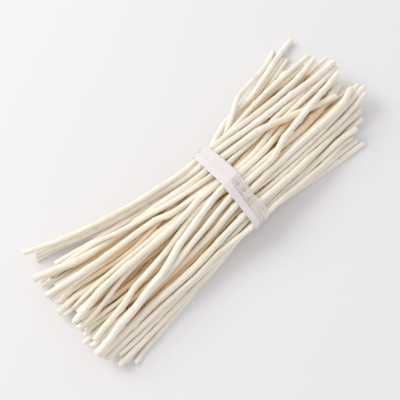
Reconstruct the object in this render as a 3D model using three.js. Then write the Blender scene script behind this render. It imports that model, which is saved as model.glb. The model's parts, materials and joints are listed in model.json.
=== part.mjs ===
// A bundle of peeled, bleached twigs lying on its side, held by one tie of plastic film.
//
// The twigs run along X, Y is to the side and Z is up. Each twig is a tapered rod with a
// small bend at every bud. The routes of the upper twigs are chosen by hand, and the rest
// are drawn from seeded random numbers. The heap is then settled like a real one: twigs
// fall, keep their own bends, stay off the floor and off their neighbours, and are squeezed
// where the tie goes round. The tie is the tight outline round the settled twigs.
// Lengths are in millimetres and angles in degrees.

import * as THREE from "three";

// ---- Driving dimensions ----

const TWIG_COUNT = 58;
const TWIG_SIDES = 6;
const LAID_SPANS = 15; // straight spans in a twig laid by hand
const DRAWN_SPANS = 10; // and in a drawn one
const LAID_BEND = 0.3; // how far a bud may stand off a laid twig's route
const DRAWN_BEND = 1.2; // and off a drawn one's
const THIN = 4.2; // butt diameter of the thinnest drawn twig
const THICK = 6; // and of the thickest
const TIP_SHARE = 0.84; // tip diameter over butt diameter
const CUT_SLOPE = { least: 0.15, most: 0.75 }; // slope of a cut end, as rise over run
const NEXT_BUD = { least: 0.38, most: 0.62 }; // where on the longest span the next bud comes

const GAP = 0.32; // free space kept between neighbours
// Where drawn twigs end: along X, in the middle and either way along Y, and how far the
// outer ones stop short of the middle ones.
const LEFT_FAN = { end: -156, middle: -3, half: 48, short: 10 };
const RIGHT_FAN = { end: 168, middle: 7, half: 47, short: 26 };
const END_SCATTER = 7; // how far a drawn twig may end before or after that
const END_RISE = 7; // and how far above or below its height in the tie it may start
const CROSSING = 0.8; // how far twigs cross over between the fans, against keeping their order
// Drawn twigs pass through the tie on a sunflower's spiral: the turn from one to the next,
// and the spiral's size and place as shares of the tie's.
const SUNFLOWER_TURN = 137.508;
const SPIRAL = { wide: 0.86, high: 0.7, lower: 0.25 };

const LEVEL = 4; // height of one level of the laid twigs, as they start
const LAID_LOW = 4; // height of level 0 over the middle of the tie
const LAID_DROOP = 8; // how much lower the ends of such a twig start
const REST_LOW = 8; // height at which level 0 comes to rest, about
const REST_LEVEL = 3; // and how much higher each next level does

const TIE = {
  x: 17.5,
  lean: 3.2, // how far the band's middle leans along X, as it goes round
  leanTurn: 35, // direction of its furthest point in +X, measured from +Y towards +Z
  middleY: -5, // the loop is laid out as an ellipse, which the twigs then shape
  halfWide: 41,
  halfHigh: 20,
  bandHalf: 6.2, // half the band's width where it is gathered
  flare: 3, // and what its half width gains where it spreads
  flareTurn: 105,
  film: 0.9, // thickness of the wound film
  clear: 1, // length past the film, on both sides, over which twigs are kept as high as in it
  sides: 36,
};

// ---- The twigs laid by hand ----
// Each has its butt diameter, its level at the left end, in the tie and at the right end, and
// its route from left to right. Routes are drawn as an eye high over one side sees them: each
// [x, y] is where the line of sight to the twig crosses a level plane.

const EYE = { x: -188, y: -191, z: 679 };
const SEEN_AT = 25; // height of that plane

const LAID = [
  {
    d: 4.4, level: [0, 1, 1],
    route: [
      [-147, -58.5], [-90, -52], [0, -41.5], [31, -39.5], [60, -37], [110, -35.8], [152, -36.3],
    ],
  },
  {
    d: 4.2, level: [0, 1, 1],
    route: [
      [-156, -46.5], [-120, -47], [-80, -42.5], [8, -36.5], [31, -35.3], [90, -34.5], [130, -32.3],
      [157, -32.2],
    ],
  },
  {
    d: 5, level: [0, 0, 0],
    route: [
      [-142, -64.5], [-130, -61.2], [-100, -58], [-70, -54.3], [-20, -48.5], [31, -46.5], [60, -48.3],
      [115, -50.4], [137, -51.5],
    ],
  },
  {
    d: 5.8, level: [2, 1, 1],
    route: [
      [-154, -57], [-120, -55], [-80, -51], [-45, -48.8], [0, -46.5], [31, -45.8], [70, -46.5],
      [105, -47.2], [136, -49.3],
    ],
  },
  {
    d: 5.4, level: [3, 2, 3],
    route: [
      [-148, -50.5], [-130, -51.7], [-105, -49.7], [-75, -47], [-40, -46], [0, -43], [31, -37.7],
      [50, -38], [75, -39.3], [105, -39.3], [120, -38.4], [142, -41],
    ],
  },
  {
    d: 4, level: [1, 2, 1],
    route: [
      [-155, 8], [-145, 8.7], [-115, 6], [-60, 0], [8, -4], [31, -8.5], [90, -8.5], [115, -10.5],
      [160, -7.5],
    ],
  },
  {
    d: 4.2, level: [3, 3, 2],
    route: [
      [-149.5, 28], [-135, 25.8], [-120, 24.7], [-95, 22.3], [-75, 21.8], [-50, 19.3], [0, 14],
      [31, 22], [60, 25], [120, 26.8], [178, 28.6],
    ],
  },
  {
    d: 4.2, level: [3, 3, 4],
    route: [
      [-158, 35], [-150, 32.4], [-135, 29], [-115, 26.3], [-90, 24.6], [-50, 21], [8, 20], [31, 28],
      [60, 35.5], [90, 40], [105, 43.3], [125, 48], [155, 55],
    ],
  },
  {
    d: 4.2, level: [3, 3, 3],
    route: [
      [-159.5, 20.6], [-130, 18], [-100, 14.3], [-70, 11.3], [-40, 9.5], [8, 7], [31, 8], [60, 11.5],
      [100, 18.5], [140, 24], [155, 25.8], [180, 25],
    ],
  },
  {
    d: 4.4, level: [4, 3, 4],
    route: [
      [-159, 4], [-140, 4.7], [-120, 6.6], [-100, 5.2], [-60, 3.5], [-40, 2.5], [0, 10], [31, 24],
      [50, 29.5], [75, 33.8], [92, 35.2], [106, 37.8], [118, 37.5], [128, 35.8], [146, 37.5], [157, 35],
    ],
  },
  {
    d: 4.8, level: [5, 4, 5],
    route: [
      [-157, 13.5], [-148, 15.6], [-135, 15.4], [-110, 11.4], [-85, 7], [-60, 7.7], [-40, 10], [0, 17],
      [31, 32], [50, 36.5], [70, 39.6], [92, 42], [105, 45.3], [125, 51], [153, 58.3],
    ],
  },
  {
    d: 4.8, level: [4, 4, 4],
    route: [
      [-157, -13.2], [-140, -12.5], [-120, -7.3], [-100, -3.4], [-80, -1.2], [-50, 0.5], [-20, 4],
      [8, 12], [31, 26], [50, 34.3], [70, 36.5], [90, 39], [120, 41.2], [166, 41.5],
    ],
  },
  {
    d: 4.6, level: [4, 4, 5],
    route: [
      [-157, -19.8], [-150, -18.2], [-140, -19.2], [-125, -22.5], [-100, -23.5], [-70, -21], [-40, -19],
      [8, -17.5], [31, -20.5], [50, -22.7], [80, -22.4], [115, -21], [145, -18.6], [179, -15.8],
    ],
  },
  {
    d: 4.6, level: [4, 5, 5],
    route: [
      [-157, -14.5], [-135, -17], [-115, -18.7], [-90, -18.5], [-60, -17.5], [-35, -14.3], [-20, -11.6],
      [8, -8], [31, -14.5], [60, -12.9], [100, -13.4], [140, -13.5], [170, -10.3], [179, -9.3],
    ],
  },
  {
    d: 4.8, level: [5, 5, 6],
    route: [
      [-146, 56], [-130, 53], [-100, 43.5], [-80, 37.5], [-40, 32], [0, 29.5], [31, 35.5], [54, 40],
      [60, 42.9], [70, 48], [85, 55.5], [92, 57], [115, 58.8], [132, 63], [140, 67], [154, 73],
    ],
  },
  {
    d: 5.2, level: [5, 5, 5],
    route: [
      [-157, -45.5], [-125, -45], [-95, -44.8], [-60, -45], [-30, -42.5], [8, -44], [31, -42.6],
      [70, -42], [100, -42.5], [115, -41.5], [125, -42.3], [138, -47],
    ],
  },
  {
    d: 4.6, level: [6, 6, 6],
    route: [
      [-155, 38.7], [-140, 36.2], [-120, 31.8], [-100, 29.3], [-80, 25.5], [-50, 21.5], [-30, 17.6],
      [0, 14], [31, 11.8], [40, 13.3], [70, 12.5], [92, 15.5], [125, 16.4], [150, 13], [168, 12],
    ],
  },
  {
    d: 4.6, level: [5, 6, 7],
    route: [
      [-153, -38], [-100, -35.5], [-60, -33], [-40, -31.8], [-20, -28.3], [8, -26.3], [31, -27.7],
      [60, -28], [90, -27], [130, -25.2], [150, -23.5], [178, -18.2],
    ],
  },
  {
    d: 5.4, level: [7, 7, 5],
    route: [
      [-136, 43.2], [-115, 38.5], [-90, 34.3], [-60, 28.9], [-40, 28], [0, 23.8], [20, 27], [45, 36],
      [60, 41], [75, 44], [92, 45.5], [100, 47.5], [120, 53.3], [140, 60], [155, 63], [172, 65.2],
    ],
  },
  {
    d: 6, level: [6, 8, 8],
    route: [
      [-152, -34], [-110, -33.3], [-90, -31.6], [-50, -28], [-20, -25], [8, -20.2], [31, -19.5],
      [50, -17.6], [90, -16.7], [115, -15.7], [145, -16], [155, -13.3], [170, -6.5],
    ],
  },
  {
    d: 5.8, level: [7, 8, 7],
    route: [
      [-156, -6], [-135, -2], [-122, 0.7], [-95, 1.4], [-60, 2], [-30, 1.8], [-10, 3.7], [5, 4.2],
      [31, 2.5], [58, 3.8], [65, 5.5], [80, 9.2], [90, 10.7], [120, 12.5], [160, 15.8], [179, 18],
    ],
  },
  {
    d: 6.2, level: [8, 8, 6],
    route: [
      [-160, -42], [-140, -40.5], [-120, -40], [-100, -37.8], [-60, -39], [-40, -37.2], [-20, -34.8],
      [8, -32.3], [31, -32], [60, -32], [90, -31], [130, -30.2], [166, -28],
    ],
  },
  {
    d: 5.8, level: [8, 8, 8],
    route: [
      [-144, 60], [-125, 53.9], [-105, 46.3], [-90, 42], [-60, 36.7], [-20, 31.3], [5, 28.3],
      [31, 29.5], [50, 27], [60, 25.8], [96, 23.3], [125, 23], [140, 21.5], [181, 21],
    ],
  },
  {
    d: 6, level: [9, 8, 5],
    route: [
      [-154, -29.6], [-140, -26.1], [-120, -23.4], [-110, -20.3], [-100, -16.2], [-80, -14.5],
      [-60, -10.6], [-40, -5.2], [-25, -1], [-10, 1.5], [31, -5.5], [60, -6.5], [105, -8.5],
      [125, -6.8], [145, -2.5], [168, 2.5],
    ],
  },
  {
    d: 5.4, level: [8, 8, 7],
    route: [
      [-160.5, 25.8], [-120, 20.2], [-100, 18.5], [-70, 17.4], [-50, 15.5], [-38, 10.7], [-30, 9.2],
      [5, 8.9], [31, 5], [50, 8.3], [68, 9.7], [80, 12], [95, 14], [125, 11], [152, 10.3],
    ],
  },
  {
    d: 5.4, level: [9, 9, 9],
    route: [
      [-151, 69], [-130, 59.5], [-110, 52.8], [-90, 47.2], [-60, 40.3], [-40, 37], [0, 33.3],
      [31, 34.8], [50, 33.3], [60, 31.8], [90, 30.9], [130, 30.3], [150, 33.5], [160, 34.7], [174, 39],
    ],
  },
  {
    d: 6, level: [10, 9, 7],
    route: [
      [-160, -38.6], [-148, -37.5], [-130, -32.7], [-115, -31.4], [-95, -26.6], [-75, -24.3],
      [-60, -18.7], [-50, -14.6], [-20, -7.8], [8, -2], [31, -2.4], [62, -1.2], [80, 2.4], [95, 5.8],
      [120, 7.5], [155, 9.8],
    ],
  },
  {
    d: 6.6, level: [8, 9, 9],
    route: [
      [-161, 46.5], [-140, 41], [-120, 36.5], [-90, 31], [-60, 25.5], [-40, 24.3], [0, 19.5], [31, 20],
      [50, 18.7], [72, 17.7], [80, 16.3], [90, 13], [105, 8], [115, 5.5], [140, -3], [158, -7],
    ],
  },
  {
    d: 5.6, level: [7, 9, 10],
    route: [
      [-159, -31], [-120, -30.8], [-75, -27], [-50, -22.5], [-20, -16.8], [8, -11.7], [31, -10.2],
      [60, -11.2], [70, -9.3], [80, -4.8], [88, -2.3], [110, 0.7], [130, 3.6], [150, 7], [165, 9.7],
      [181, 14],
    ],
  },
];

// ---- Helpers ----

// Repeatable random numbers from 0 to 1 (mulberry32).
function seeded(seed) {
  let state = seed;
  return () => {
    state = (state + 0x6d2b79f5) | 0;
    let t = Math.imul(state ^ (state >>> 15), 1 | state);
    t = (t + Math.imul(t ^ (t >>> 7), 61 | t)) ^ t;
    return ((t ^ (t >>> 14)) >>> 0) / 4294967296;
  };
}

const random = seeded(20);
const between = (low, high) => low + (high - low) * random();
const mix = (a, b, t) => a + (b - a) * t;
const clamp = (v, low, high) => Math.min(high, Math.max(low, v));
const cosine = (degrees) => Math.cos(THREE.MathUtils.degToRad(degrees));
const sine = (degrees) => Math.sin(THREE.MathUtils.degToRad(degrees));

// The value at x of a line through [x, value] points.
function along(points, x) {
  let k = 1;
  while (k < points.length - 1 && points[k][0] < x) k += 1;
  const [x0, v0] = points[k - 1];
  const [x1, v1] = points[k];
  return mix(v0, v1, clamp((x - x0) / (x1 - x0), 0, 1));
}

// A place on a twig: one of its spans, and a share of it.
const placeIn = (twig, k, x) => ({ k, u: (x - twig.x[k]) / (twig.x[k + 1] - twig.x[k]) });

function placeOn(twig, x) {
  let k = 0;
  while (k < twig.x.length - 2 && twig.x[k + 1] < x) k += 1;
  return placeIn(twig, k, x);
}

const readAt = (values, { k, u }) => mix(values[k], values[k + 1], u);

// Moves a twig sideways by (dy, dz) at one place, by moving both ends of that span.
function push(twig, { k, u }, dy, dz) {
  const scale = 1 / ((1 - u) * (1 - u) + u * u);
  const a = (1 - u) * scale;
  const b = u * scale;
  twig.y[k] += dy * a;
  twig.z[k] += dz * a;
  twig.y[k + 1] += dy * b;
  twig.z[k + 1] += dz * b;
}

// ---- The run of the tie ----

const tieReach = TIE.bandHalf + TIE.flare + TIE.lean + TIE.clear; // on either side of TIE.x
const tieFloor = TIE.film + GAP; // the film passes under the twigs
const tieMiddleZ = tieFloor + TIE.halfHigh;

// Where the band begins and ends along X, in the direction of a turn from +Y towards +Z.
function bandEdges(turn) {
  const middle = TIE.x + TIE.lean * cosine(turn - TIE.leanTurn);
  const half = TIE.bandHalf + TIE.flare * Math.max(0, cosine(turn - TIE.flareTurn));
  return [middle - half, middle + half];
}

// ---- Drawing the twigs ----

// The bends of a route, and between them more, each near the middle of the longest span.
function budPlaces(plan, spans) {
  const places = plan.map(([x]) => x);
  while (places.length <= spans) {
    const lengths = places.slice(1).map((x, k) => x - places[k]);
    const k = lengths.indexOf(Math.max(...lengths));
    places.splice(k + 1, 0, mix(places[k], places[k + 1], between(NEXT_BUD.least, NEXT_BUD.most)));
  }
  return places;
}

// A twig from the lines of its route and its height. It grows with a small bend at each bud.
function makeTwig(plan, height, diameter, bend, spans) {
  const first = plan[0][0];
  const last = plan[plan.length - 1][0];
  const twig = { x: budPlaces(plan, spans), r: [], bendY: [], ownY: [], ownZ: [] };
  const buttLeft = random() < 0.5;
  for (const x of twig.x) {
    const share = (x - first) / (last - first);
    twig.r.push((diameter / 2) * mix(1, TIP_SHARE, buttLeft ? share : 1 - share));
    twig.bendY.push(between(-bend, bend));
    twig.ownY.push(along(plan, x) + twig.bendY[twig.bendY.length - 1]);
    twig.ownZ.push(along(height, x) + between(-bend, bend));
  }
  twig.y = [...twig.ownY];
  twig.z = [...twig.ownZ];
  const drawCut = () => ({ slope: between(CUT_SLOPE.least, CUT_SLOPE.most), turn: between(0, 360) });
  twig.cuts = [drawCut(), drawCut()];
  return twig;
}

// How much nearer the line of sight is to the eye's own plumb line at a height.
const nearer = (z) => (EYE.z - z) / (EYE.z - SEEN_AT);
const seenX = (x, z) => EYE.x + (x - EYE.x) / nearer(z);

function layByHand({ d, level, route }) {
  const ends = [route[0][0], TIE.x, route[route.length - 1][0]];
  const rest = ends.map((x, i) => [x, REST_LOW + REST_LEVEL * level[i]]);
  const plan = route.map(([x, y]) => {
    const scale = nearer(along(rest, x));
    return [mix(EYE.x, x, scale), mix(EYE.y, y, scale)];
  });
  const high = tieMiddleZ + LAID_LOW;
  const height = ends.map((x, i) => [x, high + LEVEL * level[i] - (i === 1 ? 0 : LAID_DROOP)]);
  const twig = makeTwig(plan, height, d, LAID_BEND, LAID_SPANS);
  twig.route = route;
  return twig;
}

// The drawn twigs fill the lower tie, and their ends spread evenly over the fans. Many of
// them cross to the other side on the way.
function drawTwigs(count) {
  const spots = Array.from({ length: count }, (_, i) => {
    const reach = Math.sqrt((i + 0.5) / count);
    const sideways = reach * cosine(i * SUNFLOWER_TURN);
    const crossing = between(-CROSSING, CROSSING);
    const upwards = reach * sine(i * SUNFLOWER_TURN);
    return { sideways, upwards, left: sideways + crossing, right: sideways - crossing };
  });
  const endIn = (fan, side, spot) => {
    const before = spots.filter((other) => other[side] < spot[side]).length;
    const share = (2 * before + 1) / count - 1;
    const end = fan.end - Math.sign(fan.end) * fan.short * share * share;
    return [end + between(-END_SCATTER, END_SCATTER), fan.middle + fan.half * share];
  };
  return spots.map((spot) => {
    const y = TIE.middleY + SPIRAL.wide * TIE.halfWide * spot.sideways;
    const z = tieMiddleZ + TIE.halfHigh * (SPIRAL.high * spot.upwards - SPIRAL.lower);
    const plan = [endIn(LEFT_FAN, "left", spot), [TIE.x, y], endIn(RIGHT_FAN, "right", spot)];
    const height = plan.map(([x], i) => [x, i === 1 ? z : z + between(-END_RISE, END_RISE)]);
    return makeTwig(plan, height, between(THIN, THICK), DRAWN_BEND, DRAWN_SPANS);
  });
}

// ---- Settling the heap ----

const LOOSE_STEPS = 420; // twigs fall, bend and make room for each other
const CALM_STEPS = 150; // the last of them, in which they come to rest
const FREE_STEPS = 160; // then they only stay clear of each other
const FALL = 0.12; // how far a twig falls in a step
const LEAST_FORCE = 0.15; // what share of the fall and the pulls is left at rest
const ROUNDS = 2; // how often in a step twigs are moved off the floor and each other
const LOOSE_ROOM = 0.1; // free space past GAP that they then make
const LAST_ROOM = 0.03; // and once they have come to rest
const STIFFNESS = 0.5; // what share of a stray bend a step takes out
const END_STIFFNESS = 0.5; // what share of that applies to an end
const LAID_PULL = 0.2; // what share of the way back to its route a laid twig goes
const DRAWN_PULL = 0.03; // and a drawn one
const TIE_PULL = 0.6; // and of the way back into the tie
const NEAR = 8; // twigs further apart than this don't touch

// Takes out bends that a twig didn't grow with: what it is moved by changes evenly along it.
function keepShape(twig, stiffness) {
  const { x } = twig;
  const last = x.length - 1;
  for (const [place, own] of [[twig.y, twig.ownY], [twig.z, twig.ownZ]]) {
    const moved = place.map((v, k) => v - own[k]);
    const onLine = (k, a, b) => mix(moved[a], moved[b], (x[k] - x[a]) / (x[b] - x[a]));
    for (let k = 1; k < last; k += 1) place[k] += stiffness * (onLine(k, k - 1, k + 1) - moved[k]);
    place[0] += END_STIFFNESS * stiffness * (onLine(0, 1, 3) - moved[0]);
    place[last] += END_STIFFNESS * stiffness * (onLine(last, last - 1, last - 3) - moved[last]);
  }
}

// A laid twig's route depends on its height, because it is drawn as the eye sees it.
function keepPlan(twig, force) {
  const strength = force * (twig.route ? LAID_PULL : DRAWN_PULL);
  for (let k = 0; k < twig.x.length; k += 1) {
    if (twig.route) {
      const seenY = along(twig.route, seenX(twig.x[k], twig.z[k]));
      twig.ownY[k] = mix(EYE.y, seenY, nearer(twig.z[k])) + twig.bendY[k];
    }
    twig.y[k] += strength * (twig.ownY[k] - twig.y[k]);
  }
}

function fall(twig, drop) {
  for (let k = 0; k < twig.x.length; k += 1) twig.z[k] -= drop;
}

const flatShare = cosine(180 / TWIG_SIDES); // a twig rests on a flat side

function keepOffFloor(twig) {
  for (let k = 0; k < twig.x.length; k += 1) {
    const lowest = Math.abs(twig.x[k] - TIE.x) > tieReach ? twig.r[k] * flatShare : twig.r[k] + tieFloor;
    twig.z[k] = Math.max(twig.z[k], lowest);
  }
  for (const place of twig.inTie) {
    const missing = readAt(twig.r, place) + tieFloor - readAt(twig.z, place);
    if (missing > 0) push(twig, place, 0, missing);
  }
}

function holdInTie(twig, strength) {
  for (const place of twig.inTie) {
    const r = readAt(twig.r, place);
    const y = readAt(twig.y, place) - TIE.middleY;
    const z = readAt(twig.z, place) - tieMiddleZ;
    const out = Math.hypot(y / (TIE.halfWide - r), z / (TIE.halfHigh - r));
    if (out > 1) push(twig, place, -y * (1 - 1 / out) * strength, -z * (1 - 1 / out) * strength);
  }
}

// Every place where one of two twigs bends, within the length that they share.
function sharedStops(a, b) {
  const low = Math.max(a.x[0], b.x[0]);
  const high = Math.min(a.x[a.x.length - 1], b.x[b.x.length - 1]);
  const stops = [...a.x, ...b.x].filter((x) => x >= low && x <= high).sort((p, q) => p - q);
  return stops.map((x) => ({ x, onA: placeOn(a, x), onB: placeOn(b, x) }));
}

// Pushes two twigs apart wherever their straight spans come too near each other.
function keepApart({ a, b, stops }, gap) {
  let before = null;
  for (const stop of stops) {
    const y = readAt(a.y, stop.onA) - readAt(b.y, stop.onB);
    const z = readAt(a.z, stop.onA) - readAt(b.z, stop.onB);
    if (before && stop.x > before.x) {
      const ey = y - before.y;
      const ez = z - before.z;
      const squared = ey * ey + ez * ez;
      const t = squared > 0 ? clamp(-(before.y * ey + before.z * ez) / squared, 0, 1) : 0;
      const ny = before.y + t * ey;
      const nz = before.z + t * ez;
      const apart = Math.max(Math.hypot(ny, nz), 1e-6);
      const x = mix(before.x, stop.x, t);
      const onA = placeIn(a, stop.onA.k, x);
      const onB = placeIn(b, stop.onB.k, x);
      const missing = readAt(a.r, onA) + readAt(b.r, onB) + gap - apart;
      if (missing > 0) {
        push(a, onA, (0.5 * missing * ny) / apart, (0.5 * missing * nz) / apart);
        push(b, onB, (-0.5 * missing * ny) / apart, (-0.5 * missing * nz) / apart);
      }
    }
    before = { x: stop.x, y, z };
  }
}

function mayMeet(a, b) {
  const near = (p, q) => Math.min(...p) < Math.max(...q) + NEAR && Math.min(...q) < Math.max(...p) + NEAR;
  return near(a.y, b.y) && near(a.z, b.z);
}

function settle(twigs) {
  for (const twig of twigs) {
    twig.inTie = [-1, -0.5, 0, 0.5, 1].map((share) => placeOn(twig, TIE.x + tieReach * share));
  }
  const pairs = [];
  twigs.forEach((a, i) => {
    for (const b of twigs.slice(i + 1)) pairs.push({ a, b, stops: sharedStops(a, b) });
  });
  for (let step = 0; step < LOOSE_STEPS + FREE_STEPS; step += 1) {
    const loose = step < LOOSE_STEPS;
    const force = clamp((LOOSE_STEPS - step) / CALM_STEPS, LEAST_FORCE, 1);
    for (const twig of loose ? twigs : []) {
      fall(twig, FALL * force);
      keepPlan(twig, force);
      keepShape(twig, STIFFNESS * force);
      holdInTie(twig, TIE_PULL * force);
    }
    for (let round = 0; round < ROUNDS; round += 1) {
      for (const twig of twigs) keepOffFloor(twig);
      for (const pair of pairs) {
        if (mayMeet(pair.a, pair.b)) keepApart(pair, GAP + (loose ? LOOSE_ROOM : LAST_ROOM));
      }
    }
  }
}

// ---- Solids ----

const TWIG_COLOURS = ["#efe4cc", "#ebddbf", "#f1e8d6", "#e9d9bb"];
const FILM_COLOUR = "#efebee";

function twigMaterial(index) {
  return new THREE.MeshStandardMaterial({
    color: TWIG_COLOURS[index % TWIG_COLOURS.length],
    roughness: 0.72,
    metalness: 0,
  });
}

function filmMaterial() {
  return new THREE.MeshStandardMaterial({ color: FILM_COLOUR, roughness: 0.35, metalness: 0 });
}

// A closed cylinder whose rings are moved onto the twig, with both ends cut on a slant.
function twigGeometry(twig) {
  const spans = twig.x.length - 1;
  const geometry = new THREE.CylinderGeometry(1, 1, 1, TWIG_SIDES, spans);
  const at = geometry.getAttribute("position");
  const halfSide = Math.PI / TWIG_SIDES;
  for (let i = 0; i < at.count; i += 1) {
    const ring = Math.round((0.5 - at.getY(i)) * spans);
    const outwards = Math.hypot(at.getX(i), at.getZ(i));
    const turn = Math.atan2(at.getZ(i), at.getX(i)) + halfSide;
    const ey = outwards * Math.cos(turn);
    const ez = outwards * Math.sin(turn);
    const corner = (k) =>
      new THREE.Vector3(twig.x[k], twig.y[k] + twig.r[k] * ey, twig.z[k] + twig.r[k] * ez);
    const point = corner(ring);
    if (ring === 0 || ring === spans) {
      const cut = ring === 0 ? twig.cuts[0] : twig.cuts[1];
      const next = ring === 0 ? 1 : spans - 1;
      const back = cut.slope * twig.r[ring] * (1 + ey * cosine(cut.turn) + ez * sine(cut.turn));
      point.lerp(corner(next), back / Math.abs(twig.x[next] - twig.x[ring]));
    }
    at.setXYZ(i, point.x, point.y, point.z);
  }
  return geometry;
}

// How far the twigs inside the tie reach in the direction of a turn, from its middle.
function reachOf(twigs, turn) {
  let reach = 0;
  for (const twig of twigs) {
    const places = [...twig.inTie];
    twig.x.forEach((x, k) => {
      if (Math.abs(x - TIE.x) < tieReach) places.push({ k: Math.min(k, twig.x.length - 2), u: 0 });
    });
    for (const place of places) {
      const y = readAt(twig.y, place) - TIE.middleY;
      const z = readAt(twig.z, place) - tieMiddleZ;
      reach = Math.max(reach, y * cosine(turn) + z * sine(turn) + readAt(twig.r, place));
    }
  }
  return reach;
}

// The corner where the band's flat sides at two neighbouring turns meet.
function bandCorner(turn, reach, step, nextReach) {
  const sideways = (nextReach - reach * cosine(step)) / sine(step);
  return {
    y: TIE.middleY + reach * cosine(turn) - sideways * sine(turn),
    z: tieMiddleZ + reach * sine(turn) + sideways * cosine(turn),
  };
}

// The band lies flat against the outermost twigs: a ring of flat sides, each facing one turn.
function tieGeometry(twigs) {
  const step = 360 / TIE.sides;
  const reaches = Array.from({ length: TIE.sides }, (_, i) => reachOf(twigs, i * step) + GAP);
  const positions = [];
  for (let i = 0; i < TIE.sides; i += 1) {
    const [x0, x1] = bandEdges((i + 0.5) * step);
    const next = reaches[(i + 1) % TIE.sides];
    const inner = bandCorner(i * step, reaches[i], step, next);
    const outer = bandCorner(i * step, reaches[i] + TIE.film, step, next + TIE.film);
    positions.push(x0, inner.y, inner.z, x1, inner.y, inner.z, x1, outer.y, outer.z, x0, outer.y, outer.z);
  }
  const faces = [];
  for (let i = 0; i < TIE.sides; i += 1) {
    for (let edge = 0; edge < 4; edge += 1) {
      const here = 4 * i + edge;
      const beside = 4 * i + ((edge + 1) % 4);
      const there = 4 * ((i + 1) % TIE.sides) + edge;
      const across = 4 * ((i + 1) % TIE.sides) + ((edge + 1) % 4);
      faces.push(here, beside, across, here, across, there);
    }
  }
  const geometry = new THREE.BufferGeometry();
  geometry.setAttribute("position", new THREE.Float32BufferAttribute(positions, 3));
  geometry.setIndex(faces);
  return geometry;
}

// ---- The bundle ----

// Puts the origin on the floor, in the middle of the bundle's length and width.
function centre(bundle) {
  const middle = new THREE.Box3().setFromObject(bundle).getCenter(new THREE.Vector3());
  bundle.position.set(-middle.x, -middle.y, 0);
}

function buildBundle() {
  const twigs = [...LAID.map(layByHand), ...drawTwigs(TWIG_COUNT - LAID.length)];
  settle(twigs);
  const bundle = new THREE.Group();
  twigs.forEach((twig, i) => {
    const mesh = new THREE.Mesh(twigGeometry(twig), twigMaterial(i));
    mesh.name = `twig_${String(i + 1).padStart(2, "0")}`;
    bundle.add(mesh);
  });
  const tie = new THREE.Mesh(tieGeometry(twigs), filmMaterial());
  tie.name = "tie_band";
  bundle.add(tie);
  centre(bundle);
  return bundle;
}

export default buildBundle();
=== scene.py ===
# %% [markdown]
# # A bundle of peeled twigs
# The object is 58 thin willow twigs, peeled, bleached and dried, that lie on a table in a loose
# bundle. One strip of thin plastic film is wound round their middle, and both ends fan out.
# The CAD model already says where each twig and the film are, as plain faceted solids. This
# script grows the real surface round each of them: rounder twigs with buds and cut ends, film
# with pleats, and the finishes of both. Then it sets up a table top, a soft light and a camera.

import json
import math
import random

import bpy
import numpy as np
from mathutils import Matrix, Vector


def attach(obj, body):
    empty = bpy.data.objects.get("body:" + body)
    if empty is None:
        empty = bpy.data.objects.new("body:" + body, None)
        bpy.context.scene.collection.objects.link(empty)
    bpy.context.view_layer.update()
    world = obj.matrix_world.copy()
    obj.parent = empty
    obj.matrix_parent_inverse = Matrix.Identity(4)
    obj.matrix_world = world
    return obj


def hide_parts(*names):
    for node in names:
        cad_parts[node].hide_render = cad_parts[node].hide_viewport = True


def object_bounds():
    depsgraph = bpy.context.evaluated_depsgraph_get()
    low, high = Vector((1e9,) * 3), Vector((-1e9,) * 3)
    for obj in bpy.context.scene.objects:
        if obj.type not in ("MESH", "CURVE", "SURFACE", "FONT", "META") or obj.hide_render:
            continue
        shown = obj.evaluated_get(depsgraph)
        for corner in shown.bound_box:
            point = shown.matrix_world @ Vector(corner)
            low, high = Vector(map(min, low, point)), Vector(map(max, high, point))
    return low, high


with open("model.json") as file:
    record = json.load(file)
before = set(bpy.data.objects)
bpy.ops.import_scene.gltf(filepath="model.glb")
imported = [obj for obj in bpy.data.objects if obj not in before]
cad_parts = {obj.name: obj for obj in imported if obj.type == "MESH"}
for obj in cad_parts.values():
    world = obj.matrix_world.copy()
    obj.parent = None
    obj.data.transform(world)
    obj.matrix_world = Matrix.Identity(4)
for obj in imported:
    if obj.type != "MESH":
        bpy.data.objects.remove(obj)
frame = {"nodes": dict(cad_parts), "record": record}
CAD_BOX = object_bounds()
MM = 0.001

twig_nodes = sorted(name for name in frame["nodes"] if name.startswith("twig_"))
slot_of = {part["node"]: part["material_slot"] for part in frame["record"]["subparts"]}
corners = [[round(v, 4) for v in corner] for corner in CAD_BOX]
print(len(twig_nodes), "twigs, in a box of", corners)

# %% [markdown]
# ## Helpers for node trees
# Both Geometry Nodes and materials are trees of nodes. Clicked together by hand they are quick
# to try out, but a script can be read, repeated and changed in one place. Small helpers keep it
# short: one adds a node and sets or links its inputs, one also hands on an output of that node,
# and two do sums on numbers and on vectors.

# %% Adding and linking nodes


def wire(tree, socket, value):
    """Links value to the socket if it is an output, and otherwise sets it."""
    if isinstance(value, bpy.types.NodeSocket):
        tree.links.new(value, socket)
    else:
        socket.default_value = value


def add_node(tree, kind, inputs=None, **settings):
    node = tree.nodes.new(kind)
    for key, value in settings.items():
        setattr(node, key, value)
    for key, value in (inputs or {}).items():
        wire(tree, node.inputs[key], value)
    return node


def made(tree, kind, output, inputs=None, **settings):
    """Adds a node and returns one of its outputs."""
    return add_node(tree, kind, inputs, **settings).outputs[output]


def number(tree, operation, *values):
    """The output of a Math node."""
    node = add_node(tree, "ShaderNodeMath", operation=operation)
    for socket, value in zip(node.inputs, values):
        wire(tree, socket, value)
    return node.outputs[0]


def vector(tree, operation, *values):
    """The output of a Vector Math node. The last value of SCALE is the number."""
    node = add_node(tree, "ShaderNodeVectorMath", operation=operation)
    sockets = [node.inputs[0], node.inputs["Scale"]] if operation == "SCALE" else node.inputs
    for socket, value in zip(sockets, values):
        wire(tree, socket, value)
    return node.outputs["Value" if operation in ("DOT_PRODUCT", "LENGTH") else "Vector"]


print("sums and links ready")

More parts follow.
